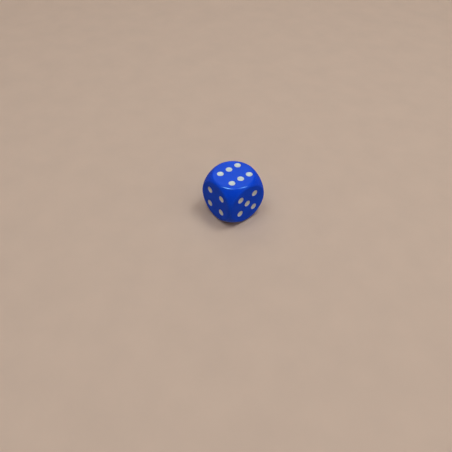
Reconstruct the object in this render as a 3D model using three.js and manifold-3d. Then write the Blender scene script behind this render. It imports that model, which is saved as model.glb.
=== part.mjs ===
// A round-cornered game die: one moulded body and the paint fills that sit in its pip dimples.
// Millimetres, +Z up. The origin is the centre of the face that the die rests on.
// Six is on top and one underneath, five on +X and two on -X, four on -Y and three on +Y.
import * as THREE from "three";
import { ParametricGeometry } from "three/addons/geometries/ParametricGeometry.js";
import {
  mergeGeometries,
  mergeVertices,
  toCreasedNormals,
} from "three/addons/utils/BufferGeometryUtils.js";
import Module from "manifold-3d";

// Driving dimensions of the body
const EDGE = 16; // across two opposite faces
const EDGE_ROUND = 1; // radius that rolls each flat into its neighbours

// Driving dimensions of the pips
const DIMPLE_RADIUS = 1.28; // at the face
const DIMPLE_DEPTH = 0.5;
const CORNER_PITCH = 3.1; // a corner pip's distance from the face's centre lines
const SIX_PITCH = 3.85; // from pip to pip along the six's rows
const SIX_SHIFT = [0, 0.45]; // how far the six's pattern stands off its face's centre, right and up
const FIVE_SHIFT = [-0.2, 0.28]; // how far the five's does
const PAINT_RIM_DROP = 0.08; // how far the paint's edge lies below the face
const PAINT_CENTRE_DROP = 0.36; // how far its dished middle does
const PAINT_CLEARANCE = 0.02; // between the paint and its dimple, so that the solids stay apart

// How finely the round shapes are cut
const FACE_STEPS = 40; // around a face
const ROUND_STEPS = 5; // from a flat's rim to the faces beside it
const PIP_STEPS = 20; // around a dimple and its paint
const DISH_STEPS = 3; // from a dish's axis to its rim
const SEAM_TOLERANCE = 1e-4; // points nearer than this are one point
const CREASE_ANGLE = Math.PI / 6; // a sharper bend than this is an edge

// Sizes that follow
const HALF = EDGE / 2;
const FLAT_RADIUS = HALF - EDGE_ROUND; // each face's flat is a disc that just reaches its rounded edges
const CORNER_BALL = FLAT_RADIUS * Math.SQRT2 + EDGE_ROUND; // the ball that all eight corners lie on
const DIMPLE_BALL = (DIMPLE_RADIUS ** 2 + DIMPLE_DEPTH ** 2) / (2 * DIMPLE_DEPTH);
const DIMPLE_BALL_HEIGHT = DIMPLE_BALL - DIMPLE_DEPTH; // its centre's height over the face

const PLASTIC = { color: 0x1238b4, roughness: 0.28, metalness: 0 };
const PIP_PAINT = { color: 0xe2e3d6, roughness: 0.55, metalness: 0 };

// Where a pip can stand on a face, seen from outside with the face's own right and up
const SPOTS = {
  centre: [0, 0],
  upper_left: [-1, 1],
  upper_right: [1, 1],
  middle_left: [-1, 0],
  middle_right: [1, 0],
  lower_left: [-1, -1],
  lower_right: [1, -1],
};
const CORNERS = ["upper_left", "upper_right", "lower_left", "lower_right"];

// The diagonals of two and three run to the corner that they share with one.
const FACES = [
  { name: "one", normal: [0, 0, -1], right: [1, 0, 0], spots: ["centre"] },
  { name: "two", normal: [-1, 0, 0], right: [0, -1, 0], spots: ["upper_right", "lower_left"] },
  { name: "three", normal: [0, 1, 0], right: [-1, 0, 0], spots: ["upper_left", "centre", "lower_right"] },
  { name: "four", normal: [0, -1, 0], right: [1, 0, 0], spots: CORNERS },
  { name: "five", normal: [1, 0, 0], right: [0, 1, 0], spots: [...CORNERS, "centre"], shift: FIVE_SHIFT },
  {
    name: "six",
    normal: [0, 0, 1],
    right: [1, 0, 0],
    spots: [...CORNERS, "middle_left", "middle_right"],
    shift: SIX_SHIFT,
  },
];

const wasm = await Module();
wasm.setup();

// A closed geometry as a solid that can be cut, its seams merged and its triangles of no width dropped
function toSolid(geometry) {
  const bare = geometry.clone();
  bare.deleteAttribute("normal");
  bare.deleteAttribute("uv");
  const merged = mergeVertices(bare, SEAM_TOLERANCE);
  const corners = merged.index.array;
  const triangles = [];
  for (let i = 0; i < corners.length; i += 3) {
    const [a, b, c] = corners.slice(i, i + 3);
    if (a !== b && b !== c && c !== a) triangles.push(a, b, c);
  }
  return new wasm.Manifold(
    new wasm.Mesh({
      numProp: 3,
      vertProperties: merged.attributes.position.array,
      triVerts: new Uint32Array(triangles),
    }),
  );
}

function toGeometry(solid) {
  const mesh = solid.getMesh();
  const geometry = new THREE.BufferGeometry();
  geometry.setAttribute("position", new THREE.BufferAttribute(mesh.vertProperties, 3));
  geometry.setIndex(new THREE.BufferAttribute(mesh.triVerts, 1));
  return toCreasedNormals(geometry, CREASE_ANGLE);
}

// The turn that puts +Z on the face's normal and +X on its right
function faceTurn({ normal, right }) {
  const z = new THREE.Vector3(...normal);
  const x = new THREE.Vector3(...right);
  const y = new THREE.Vector3().crossVectors(z, x);
  return new THREE.Matrix4().makeBasis(x, y, z);
}

function spotPlace(face, spot) {
  const [across, up] = SPOTS[spot];
  const [shiftAcross, shiftUp] = face.shift ?? [0, 0];
  const pitchUp = face.name === "six" ? SIX_PITCH : CORNER_PITCH;
  return [across * CORNER_PITCH + shiftAcross, up * pitchUp + shiftUp];
}

// A point on the skin of the +Z face. around goes once round the face, clockwise so that the skin faces
// outwards. out goes from the face's middle to where the next face begins, and its first step ends on the
// flat's rim.
function facePoint(around, out, target) {
  const angle = -around * 2 * Math.PI;
  const tiltAtNeighbour = Math.atan(1 / Math.max(Math.abs(Math.cos(angle)), Math.abs(Math.sin(angle))));
  const step = out * (ROUND_STEPS + 1);
  const tilt = (tiltAtNeighbour * Math.max(step - 1, 0)) / ROUND_STEPS;
  let radius = FLAT_RADIUS * Math.min(step, 1) + EDGE_ROUND * Math.sin(tilt);
  let height = FLAT_RADIUS + EDGE_ROUND * Math.cos(tilt);
  if (tilt > Math.PI / 4) {
    radius = CORNER_BALL * Math.sin(tilt);
    height = CORNER_BALL * Math.cos(tilt);
  }
  target.set(radius * Math.cos(angle), radius * Math.sin(angle), height);
}

// An arc of a ball centred on the axis at the given height, from the axis below it out to a radius
function dishArc(ball, centreHeight, rimRadius, steps) {
  const sweep = Math.asin(rimRadius / ball);
  return Array.from({ length: steps + 1 }, (_, i) => {
    const a = (sweep * i) / steps;
    return new THREE.Vector2(ball * Math.sin(a), centreHeight - ball * Math.cos(a));
  });
}

// The shape that a dimple takes out of a face at z = 0. It runs one step past the face.
function dimpleCutter() {
  const steps = DISH_STEPS + 1;
  const sweep = (Math.asin(DIMPLE_RADIUS / DIMPLE_BALL) * steps) / DISH_STEPS;
  const arc = dishArc(DIMPLE_BALL, DIMPLE_BALL_HEIGHT, DIMPLE_BALL * Math.sin(sweep), steps);
  const top = arc.at(-1).y;
  return new THREE.LatheGeometry([...arc, new THREE.Vector2(0, top)], PIP_STEPS).rotateX(Math.PI / 2);
}

// The paint in one dimple: a shallow bowl whose underside follows the dimple and whose top is dished less
function pipPaint() {
  const ball = DIMPLE_BALL - PAINT_CLEARANCE;
  const rim = Math.sqrt(ball ** 2 - (DIMPLE_BALL_HEIGHT + PAINT_RIM_DROP) ** 2);
  const sag = PAINT_CENTRE_DROP - PAINT_RIM_DROP;
  const topBall = (rim ** 2 + sag ** 2) / (2 * sag);
  const underside = dishArc(ball, DIMPLE_BALL_HEIGHT, rim, DISH_STEPS);
  const top = dishArc(topBall, topBall - PAINT_CENTRE_DROP, rim, DISH_STEPS).reverse().slice(1);
  return new THREE.LatheGeometry([...underside, ...top], PIP_STEPS).rotateX(Math.PI / 2);
}

function dieBody() {
  const skin = FACES.map((face) =>
    new ParametricGeometry(facePoint, FACE_STEPS, ROUND_STEPS + 1).applyMatrix4(faceTurn(face)),
  );
  let body = toSolid(mergeGeometries(skin));
  for (const face of FACES) {
    for (const spot of face.spots) {
      const cutter = dimpleCutter().translate(...spotPlace(face, spot), HALF);
      body = body.subtract(toSolid(cutter.applyMatrix4(faceTurn(face))));
    }
  }
  const mesh = new THREE.Mesh(toGeometry(body), new THREE.MeshStandardMaterial(PLASTIC));
  mesh.name = "die_body";
  return mesh;
}

function facePips(face) {
  const group = new THREE.Group();
  group.setRotationFromMatrix(faceTurn(face));
  for (const spot of face.spots) {
    const pip = new THREE.Mesh(pipPaint(), new THREE.MeshStandardMaterial(PIP_PAINT));
    pip.name = `pip_${face.name}_${spot}`;
    pip.position.set(...spotPlace(face, spot), HALF);
    group.add(pip);
  }
  return group;
}

const die = new THREE.Group();
die.position.z = HALF;
die.add(dieBody(), ...FACES.map(facePips));

export default die;
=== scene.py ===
# A round-cornered blue game die with off-white painted pips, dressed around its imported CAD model.
# Metres, +Z up, in the CAD frame. The body and the paint in each dimple are rebuilt as fine smooth
# meshes on the CAD's sizes, and made of procedural moulded plastic and pooled paint.
import math
import random

import bmesh
import bpy
import numpy as np
from mathutils import Matrix, Vector, geometry


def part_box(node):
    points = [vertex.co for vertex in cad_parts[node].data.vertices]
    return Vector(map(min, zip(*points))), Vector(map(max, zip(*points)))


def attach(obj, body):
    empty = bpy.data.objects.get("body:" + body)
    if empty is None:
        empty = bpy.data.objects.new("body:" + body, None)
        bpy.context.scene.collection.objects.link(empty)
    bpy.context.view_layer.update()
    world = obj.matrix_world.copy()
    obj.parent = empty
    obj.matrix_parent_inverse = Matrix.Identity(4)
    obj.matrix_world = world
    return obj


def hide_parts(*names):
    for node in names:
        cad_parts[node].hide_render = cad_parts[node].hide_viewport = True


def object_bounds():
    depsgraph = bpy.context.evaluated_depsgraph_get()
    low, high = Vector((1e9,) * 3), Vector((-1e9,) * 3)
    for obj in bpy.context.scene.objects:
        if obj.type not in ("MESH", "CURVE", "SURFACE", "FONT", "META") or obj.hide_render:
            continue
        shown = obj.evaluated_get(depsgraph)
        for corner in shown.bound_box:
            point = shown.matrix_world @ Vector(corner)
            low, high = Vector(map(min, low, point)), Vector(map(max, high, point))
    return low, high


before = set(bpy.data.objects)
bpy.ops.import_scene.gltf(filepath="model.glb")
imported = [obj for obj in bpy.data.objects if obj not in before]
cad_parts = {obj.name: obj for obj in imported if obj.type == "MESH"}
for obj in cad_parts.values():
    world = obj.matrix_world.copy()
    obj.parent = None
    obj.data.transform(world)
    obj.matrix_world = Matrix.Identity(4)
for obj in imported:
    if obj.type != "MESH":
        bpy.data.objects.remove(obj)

cad_low, cad_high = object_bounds()

MM = 0.001

# Sizes that the CAD solids have too
EDGE_ROUND = 1.0 * MM  # radius that rolls each flat into its neighbours
DIMPLE_RADIUS = 1.28 * MM  # at the face
DIMPLE_DEPTH = 0.5 * MM
PAINT_RIM_DROP = 0.08 * MM  # how far the paint's edge lies below the face
PAINT_CENTRE_DROP = 0.36 * MM  # how far its dished middle does

# What the fine meshes add
DIMPLE_LIP = 0.06 * MM  # radius of the softened edge between a face and a dimple
GUARD = 0.05 * MM  # width of the bands that keep the shading of a flat flat
PAINT_BITE = 0.01 * MM  # how far the paint reaches into the plastic, so that no gap shows
RIM_WAVE = 0.012 * MM  # how much the paint's edge rises and falls round its dimple
RIM_WAVES = 6  # how many sines make up that edge
DISH_POWER = 2.4  # how late the dish climbs to its edge
DISH_VARIATION = 0.03 * MM  # how much one dish's depth differs from another's
THIN_AND_SHADE_POWER = 8  # how close to its edge the coat thins and the painted shade of the dimple's crevice lies
WELD = 0.0001 * MM  # points nearer than this are one point
SLIVER = 0.01 * MM  # narrower strips between two faces are closed up

# How finely the round shapes are cut
FACE_STEPS = 256  # around a face
ROUND_STEPS = 10  # from a flat's rim to the corner ball
BALL_STEPS = 6  # from there to the next face
PIP_STEPS = 72  # around a dimple and its paint
LIP_STEPS = 6
BOWL_STEPS = 10
DISH_STEPS = 14

body_low, body_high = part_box("die_body")
CENTRE = (body_low + body_high) / 2
HALF = (body_high.x - body_low.x) / 2
FLAT_RADIUS = HALF - EDGE_ROUND  # each face's flat is a disc that just reaches its rounded edges
CORNER_BALL = FLAT_RADIUS * math.sqrt(2) + EDGE_ROUND  # the ball that all eight corners lie on
BOWL_BALL = (DIMPLE_RADIUS**2 + DIMPLE_DEPTH**2) / (2 * DIMPLE_DEPTH)
BOWL_HEIGHT = BOWL_BALL - DIMPLE_DEPTH  # that ball's centre over the face
LIP_OUTER = math.sqrt((BOWL_BALL + DIMPLE_LIP) ** 2 - (BOWL_HEIGHT + DIMPLE_LIP) ** 2)
QUARTER = math.pi / 4

random.seed(6)


# ---------------------------------------------------------------- where the faces and pips are


def face_turns():
    """The turn that puts +Z on each face's outward normal, by (axis, side)."""
    turns = {}
    for axis in range(3):
        for side in (1, -1):
            normal, right = Vector(), Vector()
            normal[axis] = side
            right[(axis + 1) % 3] = 1
            turns[axis, side] = Matrix((right, normal.cross(right), normal)).transposed()
    return turns


TURNS = face_turns()


def pip_places():
    """{CAD node: (its face, its centre on that face)}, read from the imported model."""
    places = {}
    for node in sorted(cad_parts):
        if not node.startswith("pip_"):
            continue
        low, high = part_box(node)
        size, middle = high - low, (low + high) / 2 - CENTRE
        axis = min(range(3), key=lambda i: size[i])
        face = (axis, 1 if middle[axis] > 0 else -1)
        places[node] = (face, (TURNS[face].transposed() @ middle).to_2d())
    return places


PIPS = pip_places()


# ---------------------------------------------------------------- meshes


class Skin:
    """Points and faces in one face's own frame, put together in the die's."""

    def __init__(self):
        self.points, self.faces = [], []
        self.turn, self.shift = Matrix.Identity(3), Vector()

    def place(self, face, at=(0, 0)):
        """Points added from here on are measured from this point of this face."""
        self.turn, self.shift = TURNS[face], Vector((*at, HALF))

    def add(self, points):
        """Takes points in, and gives their numbers."""
        first = len(self.points)
        self.points += [CENTRE + self.turn @ (self.shift + Vector(p)) for p in points]
        return list(range(first, len(self.points)))

    def band(self, inner, outer):
        """Joins two closed rings of as many points each, which run anticlockwise seen from outside."""
        for i in range(len(inner)):
            j = (i + 1) % len(inner)
            self.faces.append((inner[i], outer[i], outer[j], inner[j]))

    def cap(self, rim, middle):
        """Closes a ring with a fan round a middle point."""
        for i in range(len(rim)):
            self.faces.append((middle, rim[i], rim[(i + 1) % len(rim)]))

    def to_object(self, name):
        mesh = bpy.data.meshes.new(name)
        mesh.from_pydata(self.points, [], self.faces)
        work = bmesh.new()
        work.from_mesh(mesh)
        bmesh.ops.remove_doubles(work, verts=work.verts, dist=WELD)
        bmesh.ops.recalc_face_normals(work, faces=work.faces)
        work.to_mesh(mesh)
        work.free()
        mesh.shade_smooth()
        piece = bpy.data.objects.new(name, mesh)
        bpy.context.scene.collection.objects.link(piece)
        return piece


def turns_of(steps):
    """The angles of this many even steps round a circle."""
    return [2 * math.pi * i / steps for i in range(steps)]


def ring(radius, height, steps):
    """Points evenly round a circle, at one height."""
    return [(radius * math.cos(a), radius * math.sin(a), height) for a in turns_of(steps)]


def skin_point(angle, tilt):
    """A point where the face's skin has turned by tilt from the face's normal. Height 0 is the face."""
    if tilt <= QUARTER:
        radius = FLAT_RADIUS + EDGE_ROUND * math.sin(tilt)
        height = EDGE_ROUND * (math.cos(tilt) - 1)
    else:
        radius = CORNER_BALL * math.sin(tilt)
        height = CORNER_BALL * math.cos(tilt) - HALF
    return radius * math.cos(angle), radius * math.sin(angle), height


def column_tilts(angle):
    """The tilts from the flat's rim to the next face's skin, without the ball's part where it is a sliver."""
    last = math.atan(1 / max(abs(math.cos(angle)), abs(math.sin(angle))))
    tilts = [QUARTER * i / ROUND_STEPS for i in range(ROUND_STEPS)]
    start = last if (last - QUARTER) * CORNER_BALL < SLIVER else QUARTER
    return tilts + [start + (last - start) * i / BALL_STEPS for i in range(BALL_STEPS + 1)]


def triangulated(loops):
    """The points of closed flat loops, in millimetres, and triangles that fill the outermost one."""
    points, edges = [], []
    for loop in loops:
        first = len(points)
        points += loop
        edges += [(first + i, first + (i + 1) % len(loop)) for i in range(len(loop))]
    whole_hull, nearness = 0, 1e-6
    flat, _, triangles, *_ = geometry.delaunay_2d_cdt(points, edges, [], whole_hull, nearness)
    return flat, triangles


def add_flat(skin, holes):
    """The flat of a face, triangulated between its rim and its dimples."""
    loops = [[Vector(p[:2]) / MM for p in ring(FLAT_RADIUS - GUARD, 0, FACE_STEPS)]]
    for hole in holes:
        loops.append([(Vector(p[:2]) + hole) / MM for p in ring(LIP_OUTER + GUARD, 0, PIP_STEPS)])
    flat, triangles = triangulated(loops)
    index = skin.add([(p.x * MM, p.y * MM, 0) for p in flat])
    for triangle in triangles:
        corners = [flat[i] * MM for i in triangle]
        if not any(all((p - hole).length < LIP_OUTER + 2 * GUARD for p in corners) for hole in holes):
            skin.faces.append(tuple(index[i] for i in triangle))


def add_dimple(skin):
    """A softened lip and a spherical bowl."""
    sweep = math.asin(LIP_OUTER / (BOWL_BALL + DIMPLE_LIP))
    rings = [(LIP_OUTER + GUARD, 0)]
    for i in range(LIP_STEPS + 1):
        turn = sweep * i / LIP_STEPS
        rings.append((LIP_OUTER - DIMPLE_LIP * math.sin(turn), DIMPLE_LIP * (math.cos(turn) - 1)))
    for i in range(1, BOWL_STEPS):
        turn = sweep * (1 - i / BOWL_STEPS)
        rings.append((BOWL_BALL * math.sin(turn), BOWL_HEIGHT - BOWL_BALL * math.cos(turn)))
    made = [skin.add(ring(radius, height, PIP_STEPS)) for radius, height in rings]
    for outer, inner in zip(made, made[1:]):
        skin.band(inner, outer)
    skin.cap(made[-1], skin.add([(0, 0, -DIMPLE_DEPTH)])[0])


def mark_wear(body):
    """Marks how far each point is rubbed: most along the rolled edges, hardly on the flats and corners."""
    wear = body.data.attributes.new("wear", "FLOAT", "POINT")
    points = np.array([v.co for v in body.data.vertices]) - np.array(CENTRE)
    reach = (np.abs(points).max(axis=1) - FLAT_RADIUS) / EDGE_ROUND
    tilt = np.arccos(np.clip(reach, -1, 1))
    spread = QUARTER / 2
    rubbed = np.exp(-(((tilt - QUARTER) / spread) ** 2))
    wear.data.foreach_set("value", rubbed.astype(np.float32))


def make_body():
    """The moulded body: each face's flat, dimples and rolled border, welded into one skin."""
    skin = Skin()
    for face in TURNS:
        skin.place(face)
        columns = [[skin_point(a, t) for t in column_tilts(a)] for a in turns_of(FACE_STEPS)]
        rings = [skin.add(ring(FLAT_RADIUS - GUARD, 0, FACE_STEPS))]
        rings += [skin.add(points) for points in zip(*columns)]
        for inner, outer in zip(rings, rings[1:]):
            skin.band(inner, outer)
        holes = [at for where, at in PIPS.values() if where == face]
        add_flat(skin, holes)
        for hole in holes:
            skin.place(face, hole)
            add_dimple(skin)
    body = skin.to_object("body")
    mark_wear(body)
    return body


def waves(count):
    """A smooth closed wave from -1 to 1 of an angle, different at each call."""
    parts = [(k, random.uniform(-1, 1) / k, random.uniform(0, 2 * math.pi)) for k in range(2, count + 2)]
    most = sum(abs(size) for _, size, _ in parts)
    return lambda angle: sum(size * math.sin(k * angle + phase) for k, size, phase in parts) / most


def make_paint(node):
    """The paint pooled in one dimple: a dished top that climbs to a wavy edge, and a buried underside."""
    face, at = PIPS[node]
    edge_wave = waves(RIM_WAVES)
    depth = PAINT_CENTRE_DROP + random.uniform(-1, 1) * DISH_VARIATION
    ball = BOWL_BALL + PAINT_BITE
    drops = [PAINT_RIM_DROP + RIM_WAVE * edge_wave(a) for a in turns_of(PIP_STEPS)]
    rims = [math.sqrt(ball**2 - (BOWL_HEIGHT + drop) ** 2) for drop in drops]
    skin = Skin()
    skin.place(face, at)

    def paint_ring(share, height_at):
        points = []
        for angle, drop, rim in zip(turns_of(PIP_STEPS), drops, rims):
            radius = rim * share
            height = height_at(share, drop, radius)
            points.append((radius * math.cos(angle), radius * math.sin(angle), height))
        return skin.add(points)

    def top(share, drop, radius):
        return -depth + (depth - drop) * share**DISH_POWER

    def underside(share, drop, radius):
        return BOWL_HEIGHT - math.sqrt(ball**2 - radius**2)

    shares = [math.sin(math.pi / 2 * i / DISH_STEPS) for i in range(1, DISH_STEPS + 1)]
    tops = [paint_ring(share, top) for share in shares]
    unders = [paint_ring(share, underside) for share in shares[:-1]] + [tops[-1]]
    for inner, outer in zip(tops, tops[1:]):
        skin.band(inner, outer)
    for inner, outer in zip(unders, unders[1:]):
        skin.band(outer, inner)
    skin.cap(tops[0], skin.add([(0, 0, -depth)])[0])
    skin.cap(unders[0][::-1], skin.add([(0, 0, BOWL_HEIGHT - ball)])[0])
    paint = skin.to_object("paint_" + node.removeprefix("pip_"))
    mark_thin_and_shaded_edge(paint, at, face)
    return paint


def mark_thin_and_shaded_edge(paint, at, face):
    """Marks how near each point is to the paint's edge, where the coat thins and shade is painted into the
    dimple's crevice: from 0 in the middle to 1.
    """
    thin_and_shaded = paint.data.attributes.new("thin_and_shaded", "FLOAT", "POINT")
    middle = CENTRE + TURNS[face] @ Vector((*at, HALF))
    values = []
    for vertex in paint.data.vertices:
        across = (TURNS[face].transposed() @ (vertex.co - middle)).to_2d().length
        values.append(min(1, across / DIMPLE_RADIUS) ** THIN_AND_SHADE_POWER)
    thin_and_shaded.data.foreach_set("value", values)


# ---------------------------------------------------------------- shader nodes


def feed(tree, socket, value):
    """Gives a socket its value, or links it to the socket that feeds it."""
    if isinstance(value, bpy.types.NodeSocket):
        tree.links.new(value, socket)
    else:
        socket.default_value = value


def add_node(tree, kind, inputs=(), **settings):
    """A shader node of this kind, its inputs given by name or number."""
    node = tree.nodes.new("ShaderNode" + kind)
    for name, value in settings.items():
        setattr(node, name, value)
    for key, value in dict(inputs).items():
        feed(tree, node.inputs[key], value)
    return node


def noise(tree, coords, size, detail=2, roughness=0.5):
    """Noise from 0 to 1 with features of this size, in metres."""
    settings = {"Vector": coords, "Scale": 1 / size, "Detail": detail, "Roughness": roughness}
    return add_node(tree, "TexNoise", settings).outputs["Fac"]


def scaled(tree, value, low, high, new_low=0.0, new_high=1.0):
    """value taken from the range low to high to the new one, and held inside it."""
    inputs = {"Value": value, "From Min": low, "From Max": high, "To Min": new_low, "To Max": new_high}
    return add_node(tree, "MapRange", inputs).outputs["Result"]


def maths(tree, operation, *values):
    """One step of arithmetic."""
    return add_node(tree, "Math", dict(enumerate(values)), operation=operation).outputs[0]


def highest(tree, values):
    """The largest of several values at each point."""
    most = values[0]
    for value in values[1:]:
        most = maths(tree, "MAXIMUM", most, value)
    return most


def mixed(tree, share, a, b):
    """Colour a, going to colour b where share is 1."""
    node = add_node(tree, "Mix", {"Factor": share}, data_type="RGBA")
    colours = [socket for socket in node.inputs if socket.type == "RGBA"]
    feed(tree, colours[0], a)
    feed(tree, colours[1], b)
    return next(socket for socket in node.outputs if socket.type == "RGBA")


def bumped(tree, height, depth, normal=None):
    """A normal tipped by a height from 0 to 1 that stands for depth, in metres."""
    inputs = {"Height": height, "Distance": depth}
    if normal:
        inputs["Normal"] = normal
    return add_node(tree, "Bump", inputs).outputs["Normal"]


def sunk(tree, found):
    """The height, from 0 to 1, of marks that are pressed in where found is 1."""
    return scaled(tree, found, 0, 1, 1, 0)


def bent(tree, coords, amount, size):
    """The coordinates, pushed about by up to the amount over this size, so that straight marks curve."""
    push = add_node(tree, "TexNoise", {"Vector": coords, "Scale": 1 / size, "Detail": 0}).outputs["Color"]
    push = add_node(tree, "VectorMath", {0: push, "Scale": amount}, operation="SCALE").outputs["Vector"]
    return add_node(tree, "VectorMath", {0: coords, 1: push}, operation="ADD").outputs["Vector"]


def marks(tree, coords, turn, length, width, gap):
    """Thin straight marks thrown at random along one direction, from 0 to 1: the cores of long cells."""
    reach = width / (2 * gap)
    cell = (length / (2 * reach), gap, gap)
    inputs = {"Vector": coords, "Rotation": turn, "Scale": cell}
    placed = add_node(tree, "Mapping", inputs, vector_type="TEXTURE").outputs["Vector"]
    distance = add_node(tree, "TexVoronoi", {"Vector": placed, "Scale": 1}).outputs["Distance"]
    return scaled(tree, distance, 0, reach, 1, 0)


def new_material(name):
    """A material, with its node tree, its shader and the object's own coordinates."""
    material = bpy.data.materials.new(name)
    material.use_nodes = True
    tree = material.node_tree
    shader = tree.nodes["Principled BSDF"]
    coords = add_node(tree, "TexCoord").outputs["Object"]
    return material, tree, shader, coords


def plug_in(tree, shader, **values):
    """Sets the shader's inputs, which are named with _ for a space, or links them to what feeds them."""
    for name, value in values.items():
        feed(tree, shader.inputs[name.replace("_", " ")], value)


# ---------------------------------------------------------------- materials

# The stretch of a noise that is spread over the whole range. A shorter stretch has harder borders, and a
# higher one leaves less of the surface covered.
GENTLE = (0.3, 0.7)
FIRM = (0.35, 0.65)

# The plastic's colours, and how much of the next colour its patterns bring
BLUE = (0.002, 0.069, 0.785, 1)
BLUE_DEEP = (0.002, 0.057, 0.70, 1)
BLUE_SCUFFED = (0.045, 0.14, 0.78, 1)
GRAIN_TONE = 0.25
SCUFF_TONE = 0.25
SCRATCH_TONE = 0.6

# The sizes of its patterns, and how deep they are in the surface
CLOUD_SIZE = 4.0 * MM
HANDLED_SIZE, HANDLED = 3.0 * MM, (0.42, 0.62)
RIPPLE_SIZE, RIPPLE_DEPTH = 1.4 * MM, 0.008 * MM
GRAIN_SIZE, GRAIN_DEPTH = 0.25 * MM, 0.0012 * MM
SCUFF_SIZE, SCUFFED = 0.35 * MM, (0.45, 0.7)
PIT_SIZE, PIT_DEPTH, PIT_GAP = 0.09 * MM, 0.012 * MM, 0.9 * MM
SCRATCH_WIDTH, SCRATCH_DEPTH, SCRATCH_GAP = 0.035 * MM, 0.005 * MM, 0.14 * MM
SCRATCH_BEND, SCRATCH_BEND_SIZE = 0.6 * MM, 6.0 * MM
# For faces across each axis: two ways that scratches run in them, as a tilt, a spin and a length
SCRATCHES = {
    "X": ((22, 90, 4.0 * MM), (111, 90, 5.0 * MM)),
    "Y": ((38, 0, 4.5 * MM), (128, 0, 6.5 * MM)),
    "Z": ((0, 28, 5.5 * MM), (0, 117, 3.5 * MM)),
}
FACING = (0.5, 0.7)  # how much of a normal lies along the axis where its scratches start and are whole

# Its gloss
PLASTIC_ROUGHNESS = (0.12, 0.18)
GRAIN_ROUGHNESS = 0.05
SCUFF_ROUGHNESS = 0.18
SCRATCH_ROUGHNESS = 0.25
PLASTIC_IOR = 1.5
PLASTIC_GLOSS = 0.3
GLOSS_TINT = (0.45, 0.95, 1, 1)


def face_scratches(tree, coords):
    """Hairline scratches in the plane of each face, from 0 to 1."""
    normal = add_node(tree, "SeparateXYZ", {"Vector": add_node(tree, "TexCoord").outputs["Normal"]})
    found = []
    for axis, ways in SCRATCHES.items():
        lines = []
        for tilt, spin, length in ways:
            turn = (0, math.radians(tilt), math.radians(spin))
            lines.append(marks(tree, coords, turn, length, SCRATCH_WIDTH, SCRATCH_GAP))
        facing = scaled(tree, maths(tree, "ABSOLUTE", normal.outputs[axis]), *FACING)
        found.append(maths(tree, "MULTIPLY", highest(tree, lines), facing))
    return highest(tree, found)


def plastic_marks(tree, coords):
    """The scratches, scuffs and pits, each from 0 to 1. Scratches lie where the die is handled or rubbed."""
    rubbed = add_node(tree, "Attribute", attribute_name="wear").outputs["Fac"]
    handled = scaled(tree, noise(tree, coords, HANDLED_SIZE), *HANDLED)
    scratches = face_scratches(tree, bent(tree, coords, SCRATCH_BEND, SCRATCH_BEND_SIZE))
    scratches = maths(tree, "MULTIPLY", scratches, highest(tree, [handled, rubbed]))
    speckle = noise(tree, coords, SCUFF_SIZE, detail=6, roughness=0.65)
    scuffs = maths(tree, "MULTIPLY", rubbed, scaled(tree, speckle, *SCUFFED))
    pits = marks(tree, coords, (0, 0, 0), PIT_SIZE, PIT_SIZE, PIT_GAP)
    return scratches, scuffs, pits


def plastic_material():
    """Moulded blue plastic, tumbled smooth and handled: satin gloss, hairline scratches, rubbed edges."""
    material, tree, shader, coords = new_material("blue_plastic")
    cloud = noise(tree, coords, CLOUD_SIZE, detail=3)
    grain = noise(tree, coords, GRAIN_SIZE, detail=4, roughness=0.6)
    scratches, scuffs, pits = plastic_marks(tree, coords)

    colour = mixed(tree, scaled(tree, cloud, *FIRM), BLUE, BLUE_DEEP)
    colour = mixed(tree, scaled(tree, grain, *GENTLE, 0, GRAIN_TONE), colour, BLUE_DEEP)
    colour = mixed(tree, maths(tree, "MULTIPLY", scuffs, SCUFF_TONE), colour, BLUE_SCUFFED)
    colour = mixed(tree, maths(tree, "MULTIPLY", scratches, SCRATCH_TONE), colour, BLUE_SCUFFED)

    rough = scaled(tree, cloud, *FIRM, *PLASTIC_ROUGHNESS)
    rough = maths(tree, "ADD", rough, scaled(tree, grain, *GENTLE, 0, GRAIN_ROUGHNESS))
    rough = maths(tree, "ADD", rough, maths(tree, "MULTIPLY", scuffs, SCUFF_ROUGHNESS))
    rough = maths(tree, "ADD", rough, maths(tree, "MULTIPLY", scratches, SCRATCH_ROUGHNESS))

    normal = bumped(tree, noise(tree, coords, RIPPLE_SIZE, detail=1), RIPPLE_DEPTH)
    normal = bumped(tree, grain, GRAIN_DEPTH, normal)
    normal = bumped(tree, sunk(tree, scratches), SCRATCH_DEPTH, normal)
    normal = bumped(tree, sunk(tree, pits), PIT_DEPTH, normal)
    plug_in(tree, shader, Base_Color=colour, Roughness=rough, Normal=normal)
    plug_in(tree, shader, IOR=PLASTIC_IOR, Specular_IOR_Level=PLASTIC_GLOSS, Specular_Tint=GLOSS_TINT)
    return material


# The paint's colours, and how much of the next colour its patterns bring
PAINT = (0.73, 0.76, 0.71, 1)
PAINT_DULL = (0.64, 0.66, 0.60, 1)
# the paint's edge: a thin coat that lets the blue through, darkened further as painted shade in the dimple's
# crevice
PAINT_THIN_AND_SHADED = (0.34, 0.38, 0.54, 1)
SPECK_TONE = 0.35
THIN_AND_SHADE_TONE = 0.6

# The sizes of its patterns, how deep they are in the surface, and its gloss
DRIED_SIZE, DRIED_DEPTH, DRIED = 0.7 * MM, 0.012 * MM, (0.35, 0.7)
PAINT_GRAIN_SIZE, PAINT_GRAIN_DEPTH = 0.08 * MM, 0.0015 * MM
SPECK_SIZE, SPECKED = 0.12 * MM, (0.7, 0.76)
THIN_AND_SHADE_LEAST = 0.3  # thinness and painted shade vary along the edge, from this much up to all of it
PAINT_ROUGHNESS = (0.38, 0.5)
PAINT_GRAIN_ROUGHNESS = 0.08
PAINT_IOR = 1.48


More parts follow.
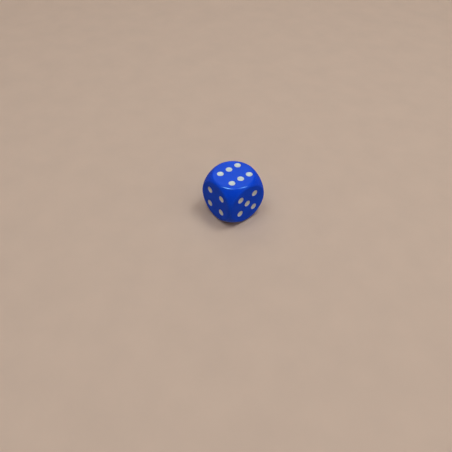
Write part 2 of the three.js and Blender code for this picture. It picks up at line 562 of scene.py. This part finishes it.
def paint_material():
    """Off-white enamel: uneven as it dried, thinner and bluer at its edge and darkened there with painted
    shade, with a little dust in it.
    """
    material, tree, shader, coords = new_material("offwhite_paint")
    cloud = noise(tree, coords, DRIED_SIZE, detail=3)
    grain = noise(tree, coords, PAINT_GRAIN_SIZE, detail=3, roughness=0.6)
    specks = scaled(tree, noise(tree, coords, SPECK_SIZE, detail=1), *SPECKED)
    thin_and_shaded = add_node(tree, "Attribute", attribute_name="thin_and_shaded").outputs["Fac"]
    ragged_thin_and_shade = maths(tree, "MULTIPLY", thin_and_shaded, scaled(tree, cloud, *GENTLE, THIN_AND_SHADE_LEAST, 1))

    colour = mixed(tree, scaled(tree, cloud, *DRIED), PAINT, PAINT_DULL)
    colour = mixed(tree, scaled(tree, specks, 0, 1, 0, SPECK_TONE), colour, PAINT_DULL)
    # painted shade: the paint's edge in the dimple's crevice goes darker, together with its thinner, bluer
    # coat
    colour = mixed(tree, scaled(tree, ragged_thin_and_shade, 0, 1, 0, THIN_AND_SHADE_TONE), colour, PAINT_THIN_AND_SHADED)

    rough = scaled(tree, cloud, *GENTLE, *PAINT_ROUGHNESS)
    rough = maths(tree, "ADD", rough, scaled(tree, grain, *GENTLE, 0, PAINT_GRAIN_ROUGHNESS))

    normal = bumped(tree, cloud, DRIED_DEPTH)
    normal = bumped(tree, grain, PAINT_GRAIN_DEPTH, normal)
    plug_in(tree, shader, Base_Color=colour, Roughness=rough, Normal=normal, IOR=PAINT_IOR)
    return material


FLOOR = (0.665, 0.468, 0.36, 1)
FLOOR_SHADED = (0.635, 0.447, 0.345, 1)
FLOOR_CLOUD_SIZE = 12 * MM
FLOOR_ROUGHNESS = 0.8
FLOOR_GLOSS = 0.2


def floor_material():
    """A plain pale matt surface."""
    material, tree, shader, coords = new_material("pale_floor")
    cloud = scaled(tree, noise(tree, coords, FLOOR_CLOUD_SIZE, detail=4), *GENTLE)
    plug_in(tree, shader, Base_Color=mixed(tree, cloud, FLOOR, FLOOR_SHADED))
    plug_in(tree, shader, Roughness=FLOOR_ROUGHNESS, Specular_IOR_Level=FLOOR_GLOSS)
    return material


# ---------------------------------------------------------------- stage

FLOOR_FLAT = 0.3  # radius of the flat floor
FLOOR_CURVE = 0.7  # radius of the sweep that joins it to the round wall
WALL_TOP = 1.2
FLOOR_STEPS = 96  # around it
CURVE_STEPS = 12  # up the sweep


def floor_profile():
    """The (radius, height) of each ring of the floor, from near its middle to the top of its wall."""
    profile = [(FLOOR_FLAT / 4, 0), (FLOOR_FLAT / 2, 0)]
    for turn in np.linspace(0, math.pi / 2, CURVE_STEPS + 1):
        profile.append((FLOOR_FLAT + FLOOR_CURVE * math.sin(turn), FLOOR_CURVE * (1 - math.cos(turn))))
    profile.append((FLOOR_FLAT + FLOOR_CURVE, WALL_TOP))
    return profile


def make_floor():
    """A round flat floor that sweeps up into a wall, so that it is plain and pale from every side."""
    work = bmesh.new()
    middle = work.verts.new((0, 0, cad_low.z))
    rings = []
    for radius, height in floor_profile():
        rings.append([work.verts.new(p) for p in ring(radius, cad_low.z + height, FLOOR_STEPS)])
    for i in range(FLOOR_STEPS):
        j = (i + 1) % FLOOR_STEPS
        work.faces.new((middle, rings[0][i], rings[0][j]))
        for inner, outer in zip(rings, rings[1:]):
            work.faces.new((inner[i], outer[i], outer[j], inner[j]))
    mesh = bpy.data.meshes.new("floor")
    work.to_mesh(mesh)
    work.free()
    mesh.shade_smooth()
    floor = bpy.data.objects.new("floor", mesh)
    bpy.context.scene.collection.objects.link(floor)
    floor.data.materials.append(floor_material())
    floor.visible_glossy = False  # it lights the die from below, but leaves its gloss dark


# ---------------------------------------------------------------- light and camera

# Each soft light: its azimuth and elevation in degrees, its distance from the die and its (width, height) in
# metres, and its radiance in watts per square metre and steradian
LAMPS = {
    "left_lamp": (-20, 74, 0.7, (0.29, 0.29), 3.2),
    "right_lamp": (150, 70, 0.7, (0.25, 0.22), 8.1),
    "right_fill": (120, 35, 0.8, (0.40, 0.30), 1.4),
    "back_fill": (240, 46, 0.8, (0.40, 0.28), 0.95),
}
CEILING = (0, 90, 0.95, (1.6, 1.6), 0.4)
GLINTS = {
    "left_glint": (-20, 74, 0.69, (0.29, 0.29), 25.0),
    "right_glint": (150, 70, 0.69, (0.18, 0.16), 20.5),
}
DAYLIGHT = (0.86, 1, 1.05)  # their colour, a little cooler than white
ROOM_LIGHT = (0.11, 0.11, 0.105, 1)  # faint and from everywhere


def direction(azimuth, elevation):
    """Towards a place round the die, in degrees. Azimuth 0 is the -Y side, and 90 the +X side."""
    a, e = math.radians(azimuth), math.radians(elevation)
    return Vector((math.sin(a) * math.cos(e), -math.cos(a) * math.cos(e), math.sin(e)))


def add_softbox(name, azimuth, elevation, distance, size, radiance):
    """A rectangular soft light that faces the die."""
    light = bpy.data.lights.new(name, "AREA")
    light.shape = "RECTANGLE"
    light.size, light.size_y = size
    light.color = DAYLIGHT
    light.energy = radiance * math.pi * size[0] * size[1]  # a flat lamp's power
    lamp = bpy.data.objects.new(name, light)
    toward = direction(azimuth, elevation)
    lamp.location = CENTRE + toward * distance
    lamp.rotation_euler = toward.to_track_quat("Z", "Y").to_euler()
    bpy.context.scene.collection.objects.link(lamp)
    return lamp


def light_stage():
    """Soft lamps and a ceiling light the die, and two glints show in its gloss."""
    for name, settings in LAMPS.items():
        add_softbox(name, *settings)
    ceiling = add_softbox("ceiling", *CEILING)
    ceiling.visible_glossy = False  # the gloss stays dark between the glints
    for name, settings in GLINTS.items():
        glint = add_softbox(name, *settings)
        glint.visible_diffuse = False  # it only shows in the gloss
    world = bpy.data.worlds.new("room")
    world.use_nodes = True
    world.node_tree.nodes["Background"].inputs["Color"].default_value = ROOM_LIGHT
    bpy.context.scene.world = world
    bpy.context.scene.view_settings.view_transform = "Standard"


# The view, in degrees
CAMERA_AZIMUTH = 49.5
CAMERA_ELEVATION = 45.8
CAMERA_ROLL = 1.75
CAMERA_DISTANCE = 170 * MM  # from the die's centre, along the line of sight
FOCAL_SHARE = 1.062  # focal length over the sensor's width
DIE_RIGHT = 0.0147  # how far the die stands right of the line of sight, over its distance
DIE_ABOVE = 0.0712  # how far above it


def make_camera():
    """The camera, with the die a little right of its line of sight and above it."""
    camera = bpy.data.cameras.new("camera")
    camera.lens = FOCAL_SHARE * camera.sensor_width
    camera.clip_start = CAMERA_DISTANCE / 100
    back = direction(CAMERA_AZIMUTH, CAMERA_ELEVATION)
    level = back.to_track_quat("Z", "Y").to_matrix()
    turn = level @ Matrix.Rotation(math.radians(CAMERA_ROLL), 3, "Z")
    holder = bpy.data.objects.new("camera", camera)
    offset = Vector((-DIE_RIGHT, -DIE_ABOVE, 1)) * CAMERA_DISTANCE
    holder.location = CENTRE + turn @ offset
    holder.rotation_euler = turn.to_euler()
    bpy.context.scene.collection.objects.link(holder)
    bpy.context.scene.camera = holder


# ---------------------------------------------------------------- the die


def dress(piece, node, material):
    """Puts a piece in the place of its CAD node, in its material."""
    piece.data.materials.append(material)
    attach(piece, "root")
    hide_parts(node)


dress(make_body(), "die_body", plastic_material())
paint = paint_material()
for pip in PIPS:
    dress(make_paint(pip), pip, paint)
make_floor()
light_stage()
make_camera()
